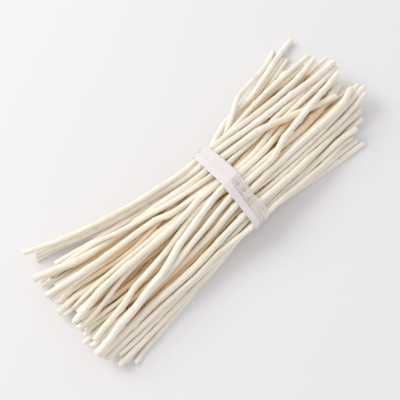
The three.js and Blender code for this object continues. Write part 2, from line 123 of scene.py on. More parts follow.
# %% [markdown]
# A Geometry Nodes group has named inputs, so that one group serves all the twigs. Numbers that
# differ from point to point travel as named attributes instead. Every group ends in Realize
# Instances and Set Material, because the exported model holds plain meshes only.

# %% Groups and attributes


def new_nodes(name, sizes):
    """A Geometry Nodes group with a Geometry input and output, and one named input per size."""
    group = bpy.data.node_groups.new(name, "GeometryNodeTree")
    group.interface.new_socket("Geometry", in_out="INPUT", socket_type="NodeSocketGeometry")
    for size, kind in sizes.items():
        group.interface.new_socket(size, in_out="INPUT", socket_type="NodeSocket" + kind)
    group.interface.new_socket("Geometry", in_out="OUTPUT", socket_type="NodeSocketGeometry")
    start = group.nodes.new("NodeGroupInput").outputs
    return group, start, group.nodes.new("NodeGroupOutput").inputs


def attribute(tree, name, kind="FLOAT"):
    inputs = {"Name": name}
    return made(tree, "GeometryNodeInputNamedAttribute", "Attribute", inputs, data_type=kind)


def store(tree, geometry, name, value, kind="FLOAT"):
    inputs = {"Geometry": geometry, "Name": name, "Value": value}
    settings = {"data_type": kind, "domain": "POINT"}
    return made(tree, "GeometryNodeStoreNamedAttribute", "Geometry", inputs, **settings)


def finish_group(tree, geometry, start, end):
    geometry = made(tree, "GeometryNodeRealizeInstances", "Geometry", {"Geometry": geometry})
    inputs = {"Geometry": geometry, "Material": start["Material"]}
    wire(tree, end["Geometry"], made(tree, "GeometryNodeSetMaterial", "Geometry", inputs))


print("groups ready")

# %% [markdown]
# ## Lines that carry numbers
# A twig and a strip of film both follow a line. The line is a mesh of points joined by edges,
# and each point carries attributes, such as how thick the twig is there. Geometry Nodes read
# them by name and build the surface. The result then becomes a plain mesh, because the exported
# model keeps no modifiers.

# %% Making a line, and baking the nodes that grow on it


def line_object(name, points, attributes, closed=False):
    mesh = bpy.data.meshes.new(name)
    edges = [(i, i + 1) for i in range(len(points) - 1)]
    if closed:
        edges.append((len(points) - 1, 0))
    mesh.from_pydata([tuple(p) for p in points], edges, [])
    for key, values in attributes.items():
        values = np.asarray(values, np.float32)
        kind, field = ("FLOAT_VECTOR", "vector") if values.ndim == 2 else ("FLOAT", "value")
        mesh.attributes.new(key, kind, "POINT").data.foreach_set(field, values.ravel())
    obj = bpy.data.objects.new(name, mesh)
    bpy.context.scene.collection.objects.link(obj)
    return obj


def add_nodes(obj, group, **sizes):
    """Adds the group as a modifier and sets its named inputs."""
    modifier = obj.modifiers.new(group.name, "NODES")
    modifier.node_group = group
    named = {s.name: s.identifier for s in group.interface.items_tree if s.in_out == "INPUT"}
    for key, value in sizes.items():
        modifier[named[key.replace("_", " ")]] = value


def bake_modifiers(obj, keep):
    """Turns what the modifiers make into a plain mesh that keeps only the named attributes."""
    graph = bpy.context.evaluated_depsgraph_get()
    mesh = bpy.data.meshes.new_from_object(
        obj.evaluated_get(graph), preserve_all_data_layers=True, depsgraph=graph
    )
    line = obj.data
    obj.modifiers.clear()
    obj.data = mesh
    bpy.data.meshes.remove(line)
    mesh.name = obj.name
    keep = (*keep, "sharp_face", "sharp_edge", "material_index")
    for extra in [a.name for a in mesh.attributes if not a.is_required and not a.is_internal]:
        if extra not in keep:
            mesh.attributes.remove(mesh.attributes[extra])


print("lines ready")

# %% [markdown]
# ## Where each twig runs
# A CAD twig is a tube of straight spans with six flat sides. Every ring of six corners lies in
# one plane across X, so the corners are sorted by x into rings. A ring's middle is a point of
# the twig's axis and its corners' distance is the radius. Only the two ends are cut on a slant,
# and there the axis is carried on to the tip.

# %% Reading axes and cuts from the CAD model

SIDES = 6
SAME_RING = 0.02 * MM  # neighbouring corners that differ less in x belong to one ring
TAPER_ON = 0.5  # how much of the last whole span's taper goes on to the tip


def corners_of(node):
    """The different corners of a CAD node, sorted by x."""
    co = np.array([v.co for v in frame["nodes"][node].data.vertices], float)
    return np.unique(co.round(7), axis=0)


def read_cut(cut, axis, thick, first):
    """The tip of a slanted end, its radius, and its slope towards Y and Z as a vector."""
    inner, beyond = (0, 1) if first else (-1, -2)
    tip = cut[:, 0].min() if first else cut[:, 0].max()
    run = (cut.mean(0) - axis[inner]) / (cut[:, 0].mean() - axis[inner][0])
    end = axis[inner] + run * (tip - axis[inner][0])
    radius = thick[inner] + (thick[inner] - thick[beyond]) * TAPER_ON
    across = np.c_[cut[:, 1:] - cut[:, 1:].mean(0), np.ones(len(cut))]
    slope = np.linalg.lstsq(across, np.abs(cut[:, 0] - tip), rcond=None)[0]
    return end, radius, (0.0, slope[0], slope[1])


def read_twig(node):
    """The points of a twig's axis, its radius at each, and the slope of both its cuts."""
    co = corners_of(node)
    steps = np.flatnonzero(np.diff(co[:, 0]) > SAME_RING) + 1
    rings = np.split(co, steps)
    whole = [k for k, ring in enumerate(rings) if len(ring) == SIDES]
    middle = rings[whole[0] : whole[-1] + 1]
    axis = [ring.mean(0) for ring in middle]
    thick = [np.linalg.norm(ring[:, 1:] - ring[:, 1:].mean(0), axis=1).mean() for ring in middle]
    first = read_cut(np.concatenate(rings[: whole[0]]), axis, thick, True)
    last = read_cut(np.concatenate(rings[whole[-1] + 1 :]), axis, thick, False)
    axis = np.array([first[0], *axis, last[0]])
    thick = np.array([first[1], *thick, last[1]])
    return axis, thick, first[2], last[2]


routes = {node: read_twig(node) for node in twig_nodes}
lengths = [np.linalg.norm(np.diff(axis, axis=0), axis=1).sum() for axis, *_ in routes.values()]
radii = np.concatenate([thick for _, thick, *_ in routes.values()]) / MM
print(f"twigs are {min(lengths):.3f} to {max(lengths):.3f} m long")
print(f"and {radii.min():.2f} to {radii.max():.2f} mm in radius")

# %% [markdown]
# ## The line of a grown twig
# A twig grows straight from bud to bud and turns a little at each. A real bend is soft, so each
# corner of the axis is rounded over about a centimetre on either side, with a quadratic curve. A
# smooth spline through the points would be simpler, but it swings out beyond them and looks like
# rubber.

# %% Rounding the bends

BEND = 11 * MM  # how far from a bud its bend begins
BEND_SHARE = 0.48  # but no more than this share of the span
BEND_POINTS = 9
RING_STEP = 2.1 * MM


def round_bends(axis, thick):
    """A dense line with rounded corners, as rows of x, y, z and radius."""
    rows = [np.array([*axis[0], thick[0]])]
    for k in range(1, len(axis) - 1):
        before, here, after = (np.array([*axis[j], thick[j]]) for j in (k - 1, k, k + 1))
        spans = [np.linalg.norm((there - here)[:3]) for there in (before, after)]
        reach = [min(BEND / span, BEND_SHARE) for span in spans]
        start = here + (before - here) * reach[0]
        end = here + (after - here) * reach[1]
        for t in np.linspace(0, 1, BEND_POINTS):
            rows.append((1 - t) ** 2 * start + 2 * t * (1 - t) * here + t**2 * end)
    rows.append(np.array([*axis[-1], thick[-1]]))
    return np.array(rows)


def spread(rows, step):
    """The rows again at even steps along the line, how far along each is, and the length."""
    run = np.r_[0, np.cumsum(np.linalg.norm(np.diff(rows[:, :3], axis=0), axis=1))]
    at = np.linspace(0, run[-1], max(2, int(run[-1] / step)))
    return np.array([np.interp(at, run, column) for column in rows.T]).T, at, run[-1]


rows, at, total = spread(round_bends(*routes["twig_29"][:2]), RING_STEP)
print(f"the top twig's line is {total:.3f} m long and has {len(at)} points")

# %% [markdown]
# A few more points close both ends of a line: they draw in to the middle and make the small worn
# rim of a cut. A cap alone would leave a knife edge there, which peeled wood hasn't.

# %% Closing an end

RIM = (  # share of the radius, and mm past the end
    (0.0, 0.09),
    (0.5, 0.07),
    (0.93, 0.05),
    (1.0, 0.0),
    (1.0, -0.14),
)


def close_end(line, points, first):
    """Puts the points of the rim in place of the first or the last point of the line."""
    end, inner = (line[0], line[1]) if first else (line[-1], line[-2])
    out = (end - inner) / np.linalg.norm(end - inner)
    rim = [end + out * past * MM for _, past in RIM]
    for key, values in points.items():
        new = np.repeat(values[:1] if first else values[-1:], len(RIM), axis=0)
        if key == "fill":
            new = np.array([share for share, _ in RIM])
        if key == "cut":
            new = np.array([1.0 if share < 1 else 0.0 for share, _ in RIM])
        points[key] = np.concatenate([new, values[1:]] if first else [values[:-1], new[::-1]])
    return np.concatenate([rim, line[1:]] if first else [line[:-1], rim[::-1]])


print(len(RIM), "points close an end")

# %% [markdown]
# Each point of the line says how far along the twig it is, how thick the twig is, how close the
# nearest bud is, and on which side that bud sits. The buds of willow go round the twig as they
# follow each other, by a turn that differs a little from bud to bud.

# %% Points that know their place on the twig

BUD_HALF = 3.4 * MM  # half the length of the swelling under a bud
BUD_TURN = (2.2, 3.6)  # radians from one bud round the twig to the next


def twig_line(axis, thick, chance):
    rows, at, total = spread(round_bends(axis, thick), RING_STEP)
    buds = np.r_[0, np.cumsum(np.linalg.norm(np.diff(axis, axis=0), axis=1))][1:-1]
    away = np.abs(at[:, None] - buds[None])
    turn = np.cumsum([chance.uniform(*BUD_TURN) for _ in buds])
    bud_side = np.c_[np.cos(turn), np.sin(turn), np.zeros(len(turn))]
    points = {
        "thick": rows[:, 3],
        "fill": np.ones(len(at)),
        "cut": np.zeros(len(at)),
        "along": at,
        "left": total - at,
        "bud": np.exp(-((away.min(1) / BUD_HALF) ** 2)),
        "bud_side": bud_side[away.argmin(1)],
    }
    line = close_end(rows[:, :3], points, True)
    return close_end(line, points, False), points


lines = [
    twig_line(*routes[node][:2], random.Random(count)) for count, node in enumerate(twig_nodes, 1)
]
print("the lines have", sum(len(line) for line, _ in lines), "points")

# %% [markdown]
# ## How deep in the heap each twig lies
# Light reaches the gaps of the heap only after it has bounced from twig to twig, and each time the
# wood takes out some blue, so the gaps glow brown. A render with a few dozen bounces would show it,
# but the exported model is lit otherwise, so the depth is worked out here and stored on the twigs,
# and their material paints that brown shade by it. A coarse grid holds the height of the heap's
# top, and a point's depth is how far it lies under that. The depth fades towards the heap's open
# sides and ends, where light comes in.

# %% Measuring the depth

CELL = 4 * MM
SPARE = 3  # empty cells all round the heap
ROOF_ROUNDS = 3  # how often the roof is evened out
EDGE = 14 * MM  # the depth grows in this distance
EDGE_START = 0.3  # after this share of it
OPEN_END = 50 * MM  # and so far from an end it is whole
EVEN_POINTS = 15  # over which a twig's depth is evened out


def heap_depth(lines):
    """For every point of every line, how far it lies under the top of the heap."""
    low = np.concatenate(lines).min(0)[:2] - SPARE * CELL
    cells = [np.floor((line[:, :2] - low) / CELL).astype(int) for line in lines]
    roof = np.zeros(np.concatenate(cells).max(0) + SPARE + 1)
    sides = np.full((len(roof), 2), (1.0, -1.0))  # lowest and highest y at each step along X
    for cell, line in zip(cells, lines):
        np.maximum.at(roof, (cell[:, 0], cell[:, 1]), line[:, 2])
        np.minimum.at(sides[:, 0], cell[:, 0], line[:, 1])
        np.maximum.at(sides[:, 1], cell[:, 0], line[:, 1])
    nearby = [(i, j) for i in (-1, 0, 1) for j in (-1, 0, 1)]
    roof = np.max([np.roll(roof, step, (0, 1)) for step in nearby], axis=0)
    for _ in range(ROOF_ROUNDS):
        roof = np.mean([np.roll(roof, step, (0, 1)) for step in nearby], axis=0)
    depths = []
    for cell, line in zip(cells, lines):
        low_side, high_side = sides[cell[:, 0]].T
        from_side = np.minimum(line[:, 1] - low_side, high_side - line[:, 1])
        under = roof[cell[:, 0], cell[:, 1]] - line[:, 2]
        depth = under * np.clip(from_side / EDGE - EDGE_START, 0, 1)
        depth = np.pad(depth, EVEN_POINTS // 2, mode="edge")
        depths.append(np.convolve(depth, np.ones(EVEN_POINTS) / EVEN_POINTS, mode="valid"))
    return depths


for (line, points), depth in zip(lines, heap_depth([line for line, _ in lines])):
    from_end = np.minimum(points["along"], points["left"])
    points["deep"] = depth / MM * np.clip(from_end / OPEN_END, 0, 1)
deepest = max(points["deep"].max() for _, points in lines)
print(f"the deepest point of an axis counts as {deepest:.1f} mm under the top")

# %% [markdown]
# ## The skin of a twig
# Curve to Mesh sweeps a circle along the line and scales it by the radius. The circle's own x
# and y, kept as an attribute, say where round the twig a corner is, whatever way the twig
# turns. With the distance along the twig they give the place of each corner as if the twig
# were straight, and all lumps and grain are laid out there, so they follow every bend.

# %% Sweeping the tube


def swept_tube(tree, start):
    """The plain tube, and where each corner is round it, from its middle and along it."""
    curve = made(tree, "GeometryNodeMeshToCurve", "Curve", {"Mesh": start["Geometry"]})
    place = made(tree, "GeometryNodeInputPosition", "Position")
    ahead = made(tree, "GeometryNodeInputTangent", "Tangent")
    curve = store(tree, curve, "axis", place, "FLOAT_VECTOR")
    curve = store(tree, curve, "run", ahead, "FLOAT_VECTOR")
    sizes = {"Resolution": start["Sides"], "Radius": 1.0}
    circle = made(tree, "GeometryNodeCurvePrimitiveCircle", "Curve", sizes)
    circle = store(tree, circle, "round", place, "FLOAT_VECTOR")
    radius = number(tree, "MULTIPLY", attribute(tree, "thick"), attribute(tree, "fill"))
    inputs = {"Curve": curve, "Profile Curve": circle, "Scale": radius, "Fill Caps": True}
    tube = made(tree, "GeometryNodeCurveToMesh", "Mesh", inputs)

    turned = attribute(tree, "round", "FLOAT_VECTOR")
    along = number(tree, "ADD", attribute(tree, "along"), start["Seed"])
    lengthwise = made(tree, "ShaderNodeCombineXYZ", "Vector", {"Z": along})
    grain = vector(tree, "ADD", vector(tree, "SCALE", turned, radius), lengthwise)
    return store(tree, tube, "grain", grain, "FLOAT_VECTOR"), turned, grain


print("a tube has a circle swept along its line")

# %% [markdown]
# Peeled wood isn't a smooth rod. A slow noise makes the section slightly lumpy, and a second
# one, long along the twig and short round it, gives low ridges. The wood swells at a bud, and a
# low scar stands on one side of it.

# %% Lumps, ridges and buds

SCAR_NARROW = 6.0  # powers that keep the scar to one side of the twig
SCAR_SHORT = 3.0  # and to the middle of the bud


def growth(tree, start, turned, grain):
    """How far each corner stands from the axis, over the plain radius."""
    spacing = number(tree, "DIVIDE", 1.0, start["Lump spacing"])
    inputs = {"Vector": grain, "Scale": spacing, "Detail": 1.0}
    lumps = made(tree, "ShaderNodeTexNoise", "Fac", inputs)
    lumps = number(tree, "MULTIPLY", number(tree, "SUBTRACT", lumps, 0.5), start["Lump depth"])
    inputs = {"Vector": vector(tree, "DIVIDE", grain, start["Ridge size"]), "Scale": 1.0}
    ridges = made(tree, "ShaderNodeTexNoise", "Fac", inputs)
    ridges = number(tree, "MULTIPLY", number(tree, "SUBTRACT", ridges, 0.5), start["Ridge depth"])
    bud = attribute(tree, "bud")
    facing = vector(tree, "DOT_PRODUCT", turned, attribute(tree, "bud_side", "FLOAT_VECTOR"))
    scar = number(tree, "POWER", number(tree, "MAXIMUM", facing, 0.0), SCAR_NARROW)
    scar = number(tree, "MULTIPLY", scar, number(tree, "POWER", bud, SCAR_SHORT))
    scar = number(tree, "MULTIPLY", scar, start["Scar height"])
    swell = number(tree, "MULTIPLY", bud, start["Bud swell"])
    more = number(tree, "ADD", number(tree, "ADD", lumps, ridges), number(tree, "ADD", swell, scar))
    return number(tree, "ADD", 1.0, more)


print("growth ready")

# %% [markdown]
# The twigs were cut with shears, on a slant. Near both ends the corners slide along the twig,
# each by as much as the slanted plane lies back from the tip there. A boolean cut would give
# the same plane, but it breaks up the even rings that the grain follows.

# %% Slanted cuts


def slide_to_cuts(tree, start, out):
    """How far each corner slides along the twig, as a vector."""
    thick = attribute(tree, "thick")
    slides = []
    for cut, away, sign in ((start["First cut"], "along", 1.0), (start["Last cut"], "left", -1.0)):
        deepest = number(tree, "MULTIPLY", vector(tree, "LENGTH", cut), thick)
        back = number(tree, "ADD", deepest, vector(tree, "DOT_PRODUCT", out, cut))
        away = number(tree, "DIVIDE", attribute(tree, away), start["Cut zone"])
        share = number(tree, "MAXIMUM", number(tree, "SUBTRACT", 1.0, away), 0.0)
        slides.append(number(tree, "MULTIPLY", number(tree, "MULTIPLY", back, share), sign))
    run = attribute(tree, "run", "FLOAT_VECTOR")
    return vector(tree, "SCALE", run, number(tree, "ADD", *slides))


print("cuts ready")

# %% [markdown]
# The group puts these steps together. Set Position moves every corner, the table top stops whatever
# would sink below it, and the last ring at each end is welded to a single point. The depth in the
# heap is made finer on the way: a corner under its twig lies deeper than the axis, so the painted
# brown shade also falls on each twig's underside.

# %% Building the twig nodes

WELD = 0.005 * MM
TABLE = (-10.0, -10.0, 0.0)  # nothing goes lower than the last of these


def twig_nodes_group():
    sizes = {
        "Sides": "Int",
        "Lump depth": "Float",
        "Lump spacing": "Float",
        "Ridge depth": "Float",
        "Ridge size": "Vector",
        "Bud swell": "Float",
        "Scar height": "Float",
        "Cut zone": "Float",
        "First cut": "Vector",
        "Last cut": "Vector",
        "Seed": "Float",
        "Material": "Material",
    }
    tree, start, end = new_nodes("Peeled twig", sizes)
    tube, turned, grain = swept_tube(tree, start)
    axis = attribute(tree, "axis", "FLOAT_VECTOR")
    place = made(tree, "GeometryNodeInputPosition", "Position")
    out = vector(tree, "SUBTRACT", place, axis)
    out = vector(tree, "SCALE", out, growth(tree, start, turned, grain))
    place = vector(tree, "ADD", out, slide_to_cuts(tree, start, out))
    place = vector(tree, "MAXIMUM", vector(tree, "ADD", axis, place), TABLE)
    # Painted shade: the underside of each twig counts as deeper, so its material paints it browner.
    above = number(tree, "DIVIDE", vector(tree, "DOT_PRODUCT", out, (0, 0, 1)), MM)
    tube = store(tree, tube, "deep", number(tree, "SUBTRACT", attribute(tree, "deep"), above))
    inputs = {"Geometry": tube, "Position": place}
    skin = made(tree, "GeometryNodeSetPosition", "Geometry", inputs)
    inputs = {"Geometry": skin, "Distance": WELD}
    skin = made(tree, "GeometryNodeMergeByDistance", "Geometry", inputs)
    finish_group(tree, skin, start, end)
    return tree


peeled_twig = twig_nodes_group()
print("Peeled twig has", len(peeled_twig.nodes), "nodes")

# %% [markdown]
# ## Helpers for finishes
# All colours are worked out by nodes, so they are sharp from any distance and need no picture
# files. A pattern is a noise whose spots have a size in metres, a ramp that keeps part of it,
# and a blend of two colours.

# %% Ramps, blends and noises


def ramp(tree, value, low, high):
    """0 below low, 1 above high, and smooth between them."""
    inputs = {"Value": value, "From Min": low, "From Max": high}
    return made(tree, "ShaderNodeMapRange", "Result", inputs, interpolation_type="SMOOTHSTEP")


def blend(tree, share, a, b):
    node = add_node(tree, "ShaderNodeMix", data_type="RGBA")
    wire(tree, node.inputs["Factor"], share)
    wire(tree, node.inputs[6], a)
    wire(tree, node.inputs[7], b)
    return node.outputs[2]


def stain(tree, colour, share, most, stained):
    """The colour, with at most so much of the stain where share is 1."""
    return blend(tree, number(tree, "MULTIPLY", share, most), colour, stained)


def noise(tree, place, size, detail=2.0, roughness=0.5):
    """Noise whose spots have the given size, in metres."""
    scaled = vector(tree, "DIVIDE", place, size)
    inputs = {"Vector": scaled, "Scale": 1.0, "Detail": detail, "Roughness": roughness}
    return made(tree, "ShaderNodeTexNoise", "Fac", inputs)


def read(tree, name, output="Fac"):
    return made(tree, "ShaderNodeAttribute", output, attribute_name=name)


def new_material(name):
    material = bpy.data.materials.new(name)
    material.use_nodes = True
    tree = material.node_tree
    return material, tree, tree.nodes["Principled BSDF"]


print("ramps, blends and noises ready")

# %% [markdown]
# ## Peeled, bleached wood
# Under its bark willow is cream white. It changes slowly towards straw, and has yellow streaks and
# fine brown fibres that run along the twig, and a greenish tint round the buds. Deep in the heap
# and on the undersides of the twigs it is painted towards brown: painted shade, in place of the
# light that reaches there only after bouncing from twig to twig. A cut end is slightly grey, with
# the pith as a darker middle. The patterns read the straightened position that the nodes stored.

# %% The wood material

SLOW_SIZE = (0.02, 0.02, 0.06)
STREAK_SIZE = (0.0013, 0.0013, 0.03)
FIBRE_SIZE = (0.0005, 0.0005, 0.018)
STREAK = (0.78, 0.67, 0.41, 1)
FIBRE = (0.62, 0.49, 0.29, 1)
ROUND_BUD = (0.72, 0.66, 0.42, 1)
# The next colour is painted shade, the brown of the gaps deep in the heap.
GAP_SHADE_BROWN = (0.80, 0.54, 0.27, 1)
END_GRAIN = (0.74, 0.69, 0.62, 1)
PITH = (0.52, 0.42, 0.32, 1)


def peeled_wood(name, cream, straw):
    material, tree, shader = new_material(name)
    grain = read(tree, "grain", "Vector")
    slow = ramp(tree, noise(tree, grain, SLOW_SIZE, 1.0), 0.35, 0.68)
    colour = blend(tree, slow, (*cream, 1), (*straw, 1))
    streaks = noise(tree, grain, STREAK_SIZE, 1.0)
    colour = stain(tree, colour, ramp(tree, streaks, 0.48, 0.68), 0.5, STREAK)
    fibres = noise(tree, grain, FIBRE_SIZE)
    colour = stain(tree, colour, ramp(tree, fibres, 0.5, 0.72), 0.38, FIBRE)
    colour = stain(tree, colour, ramp(tree, read(tree, "bud"), 0.35, 1.0), 0.3, ROUND_BUD)
    # Painted shade: deep in the heap and under each twig the colour goes towards brown, as if lit
    # only by light bounced between the twigs.
    colour = stain(tree, colour, ramp(tree, read(tree, "deep"), 0.3, 6.5), 0.97, GAP_SHADE_BROWN)
    pith = number(tree, "SUBTRACT", 1.0, ramp(tree, read(tree, "fill"), 0.1, 0.4))
    colour = blend(tree, read(tree, "cut"), colour, blend(tree, pith, END_GRAIN, PITH))
    wire(tree, shader.inputs["Base Color"], colour)
    rough = number(tree, "ADD", number(tree, "MULTIPLY", fibres, 0.25), 0.55)
    wire(tree, shader.inputs["Roughness"], rough)
    shader.inputs["Specular IOR Level"].default_value = 0.15
    height = number(tree, "ADD", number(tree, "MULTIPLY", streaks, 2.0), fibres)
    inputs = {"Height": height, "Strength": 0.5, "Distance": 0.3 * MM}
    wire(tree, shader.inputs["Normal"], made(tree, "ShaderNodeBump", "Normal", inputs))
    return material


wood = {
    "twig_cream": peeled_wood("peeled_cream", (0.93, 0.87, 0.755), (0.91, 0.83, 0.68)),
    "twig_straw": peeled_wood("peeled_straw", (0.91, 0.84, 0.71), (0.88, 0.79, 0.625)),
    "twig_pale": peeled_wood("peeled_pale", (0.93, 0.885, 0.80), (0.92, 0.855, 0.735)),
    "twig_buff": peeled_wood("peeled_buff", (0.90, 0.825, 0.71), (0.88, 0.785, 0.64)),
}
print(len(wood), "kinds of wood")

# %% [markdown]
# ## Growing the twigs
# Every CAD twig now gets its skin. Each has its own seed, so its lumps, streaks and buds differ
# from its neighbours', and are the same on every run.

# %% Making the 58 twigs

SEED_STEP = 0.7  # metres of grain between one twig and the next


def grow_twig(node, line, points, seed):
    twig = line_object("peeled_" + node, line, points)
    add_nodes(
        twig,
        peeled_twig,
        Sides=18,
        Lump_depth=0.26,
        Lump_spacing=9 * MM,
        Ridge_depth=0.34,
        Ridge_size=(2.2 * MM, 2.2 * MM, 28 * MM),
        Bud_swell=0.07,
        Scar_height=0.2,
        Cut_zone=12 * MM,
        First_cut=routes[node][2],
        Last_cut=routes[node][3],
        Seed=seed,
        Material=wood[slot_of[node]],
    )
    bake_modifiers(twig, keep=("grain", "bud", "cut", "fill", "deep"))
    twig.data.shade_smooth()
    return twig


faces = 0
for count, (node, (line, points)) in enumerate(zip(twig_nodes, lines), 1):
    twig = grow_twig(node, line, points, SEED_STEP * count)
    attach(twig, "root")
    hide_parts(node)
    faces += len(twig.data.polygons)
print(count, "twigs with", faces, "faces")

# %% [markdown]
# ## The film tie
# The tie is one strip of thin, milky film, pulled tight and wound several times, so it lies in
# straight runs from twig to twig and gathers into pleats. The CAD band is its envelope. Its
# outline seen along X is read as the convex hull of its corners, because tight film has no
# hollows.

# %% Reading the band

HULL_TURN = 1e-12  # a corner that turns less than this lies on a straight run
SAME_CORNER = 0.01 * MM
RING_POINTS = 320
RING_ROUNDS = 3  # how often the outline's corners are softened


def hull_half(points):
    """The lower half of the convex hull of points that are sorted by their first value."""
    kept = []
    for p in points:
        while len(kept) > 1 and np.cross(kept[-1] - kept[-2], p - kept[-2]) <= HULL_TURN:
            kept.pop()
        kept.append(p)
    return kept[:-1]


def band_outline(node):
    """Even points round the band as first x, y, z and last x, the way outwards, and its length."""
    co = corners_of(node)
    flat = np.unique(co[:, 1:].round(6), axis=0)
    rows = []
    for y, z in hull_half(flat) + hull_half(flat[::-1]):
        here = co[np.hypot(co[:, 1] - y, co[:, 2] - z) < SAME_CORNER]
        rows.append((here[:, 0].min(), y, z, here[:, 0].max()))
    rows = np.array([*rows, rows[0]])
    run = np.r_[0, np.cumsum(np.linalg.norm(np.diff(rows[:, 1:3], axis=0), axis=1))]
    at = np.linspace(0, run[-1], RING_POINTS, endpoint=False)
    even = np.array([np.interp(at, run, column) for column in rows.T]).T
    for _ in range(RING_ROUNDS):
        even = (np.roll(even, 1, 0) + 2 * even + np.roll(even, -1, 0)) / 4
    ahead = np.roll(even, -1, 0)[:, 1:3] - np.roll(even, 1, 0)[:, 1:3]
    out = np.c_[ahead[:, 1], -ahead[:, 0]] / np.linalg.norm(ahead, axis=1)[:, None]
    return even, out, run[-1]


ring, ring_out, ring_length = band_outline("tie_band")
first_x, last_x = ring[:, 0].min(), ring[:, 3].max()
print(f"the film goes {ring_length:.3f} m round the twigs, from x {first_x:.4f} to {last_x:.4f}")

# %% [markdown]
# The line of a turn of film runs along that outline. Its nodes sweep a straight stroke along it
# to get a sheet. The place of each corner on the flat sheet is stored for the pleats and for the
# film's finish.

# %% Sweeping the sheet


def swept_sheet(tree, start):
    """The plain sheet, how far each corner is from its low edge, and its place when flat."""
    curve = made(tree, "GeometryNodeMeshToCurve", "Curve", {"Mesh": start["Geometry"]})
    place = made(tree, "GeometryNodeInputPosition", "Position")
    curve = store(tree, curve, "axis", place, "FLOAT_VECTOR")
    inputs = {"Start": (0, 0, 0), "End": (1, 0, 0)}
    edge = made(tree, "GeometryNodeCurvePrimitiveLine", "Curve", inputs)
    inputs = {"Curve": edge, "Count": start["Columns"]}
    edge = made(tree, "GeometryNodeResampleCurve", "Curve", inputs)
    edge = store(tree, edge, "across", made(tree, "GeometryNodeSplineParameter", "Factor"))
    inputs = {"Curve": curve, "Profile Curve": edge}
    sheet = made(tree, "GeometryNodeCurveToMesh", "Mesh", inputs)
    wide = number(tree, "SUBTRACT", attribute(tree, "high"), attribute(tree, "low"))
    wide = number(tree, "MULTIPLY", wide, attribute(tree, "across"))
    along = number(tree, "ADD", attribute(tree, "around"), start["Seed"])
    inputs = {"X": wide, "Y": along, "Z": start["Seed"]}
    flat = made(tree, "ShaderNodeCombineXYZ", "Vector", inputs)
    return store(tree, sheet, "weave", flat, "FLOAT_VECTOR"), wide, flat


print("a sheet has a stroke swept along its line")

# %% [markdown]
# The film nodes lay every corner between the sheet's two edges and lift it by the pleats, a
# noise that is narrow across the film and long round it.

# %% Building the film nodes


def pleating(tree, start, flat):
    """How far the pleats lift each corner."""
    inputs = {"X": start["Pleat width"], "Y": start["Pleat length"], "Z": 1.0}
    size = made(tree, "ShaderNodeCombineXYZ", "Vector", inputs)
    inputs = {"Vector": vector(tree, "DIVIDE", flat, size), "Scale": 1.0, "Detail": 2.0}
    pleats = number(tree, "SUBTRACT", made(tree, "ShaderNodeTexNoise", "Fac", inputs), 0.5)
    return number(tree, "MULTIPLY", pleats, start["Pleat depth"])


def film_nodes_group():
    sizes = {
        "Columns": "Int",
        "Pleat width": "Float",
        "Pleat length": "Float",
        "Pleat depth": "Float",
        "Seed": "Float",
        "Material": "Material",
    }
    tree, start, end = new_nodes("Wound film", sizes)
    sheet, wide, flat = swept_sheet(tree, start)
    lift = number(tree, "ADD", attribute(tree, "lift"), pleating(tree, start, flat))
    out = vector(tree, "SCALE", attribute(tree, "out", "FLOAT_VECTOR"), lift)
    side = attribute(tree, "side", "FLOAT_VECTOR")
    sideways = vector(tree, "SCALE", side, number(tree, "ADD", attribute(tree, "low"), wide))
    place = vector(tree, "ADD", out, sideways)
    place = vector(tree, "ADD", attribute(tree, "axis", "FLOAT_VECTOR"), place)
    inputs = {"Geometry": sheet, "Position": place}
    sheet = made(tree, "GeometryNodeSetPosition", "Geometry", inputs)
    finish_group(tree, sheet, start, end)
    return tree


wound_film = film_nodes_group()
print("Wound film has", len(wound_film.nodes), "nodes")

# %% [markdown]
# ## Milky film
# Where the film lies double it is milky white, with a touch of pink and blue. Where one loose turn
# lies on the twigs they show through it, and its creases are darker lines of painted shade. The
# attribute cover says which it is, so one material serves the whole strip.

# %% The film material

CREASE_SIZE = (0.0006, 0.035, 1.0)
CLOUD_SIZE = (0.003, 0.012, 1.0)
PINK_MILK = (0.765, 0.71, 0.69, 1)
BLUE_MILK = (0.73, 0.68, 0.685, 1)
LOOSE_MILK = (0.93, 0.88, 0.80, 1)
CREASE_SHADE = (0.62, 0.57, 0.52, 1)


def milky_film(name):
    material, tree, shader = new_material(name)
    weave = read(tree, "weave", "Vector")
    creases = noise(tree, weave, CREASE_SIZE, 1.0, 0.6)
    clouds = noise(tree, weave, CLOUD_SIZE)
    loose = number(tree, "SUBTRACT", 1.0, read(tree, "cover"))
    colour = blend(tree, clouds, PINK_MILK, BLUE_MILK)
    colour = blend(tree, loose, colour, LOOSE_MILK)
    # Painted shade: the creases darken the colour, most where the film is loose.
    share = number(tree, "ADD", loose, 0.08)
    share = number(tree, "MULTIPLY", ramp(tree, creases, 0.56, 0.66), share)
    wire(tree, shader.inputs["Base Color"], blend(tree, share, colour, CREASE_SHADE))
    holes = number(tree, "MULTIPLY", ramp(tree, clouds, 0.3, 0.65), loose)
    clear = number(tree, "MULTIPLY", holes, 0.5)
    clear = number(tree, "ADD", clear, number(tree, "MULTIPLY", loose, 0.62))
    wire(tree, shader.inputs["Alpha"], number(tree, "SUBTRACT", 0.95, clear))
    rough = number(tree, "ADD", number(tree, "MULTIPLY", creases, 0.2), 0.3)
    wire(tree, shader.inputs["Roughness"], rough)
    inputs = {"Height": creases, "Strength": 0.6, "Distance": 0.3 * MM}
    wire(tree, shader.inputs["Normal"], made(tree, "ShaderNodeBump", "Normal", inputs))
    return material


film = milky_film("milky_film")
print("the film has", len(film.node_tree.nodes), "nodes")

# %% [markdown]
# ## Winding the film
# A turn of film is a sheet with a thickness, closed all round by the Solidify modifier. Its two
# edges, its lift and its cover change as it goes round, so they are functions of the turn in
# degrees.

# %% One sheet and one turn of film

FILM_COLUMNS = 26
FILM_THICK = 0.1 * MM


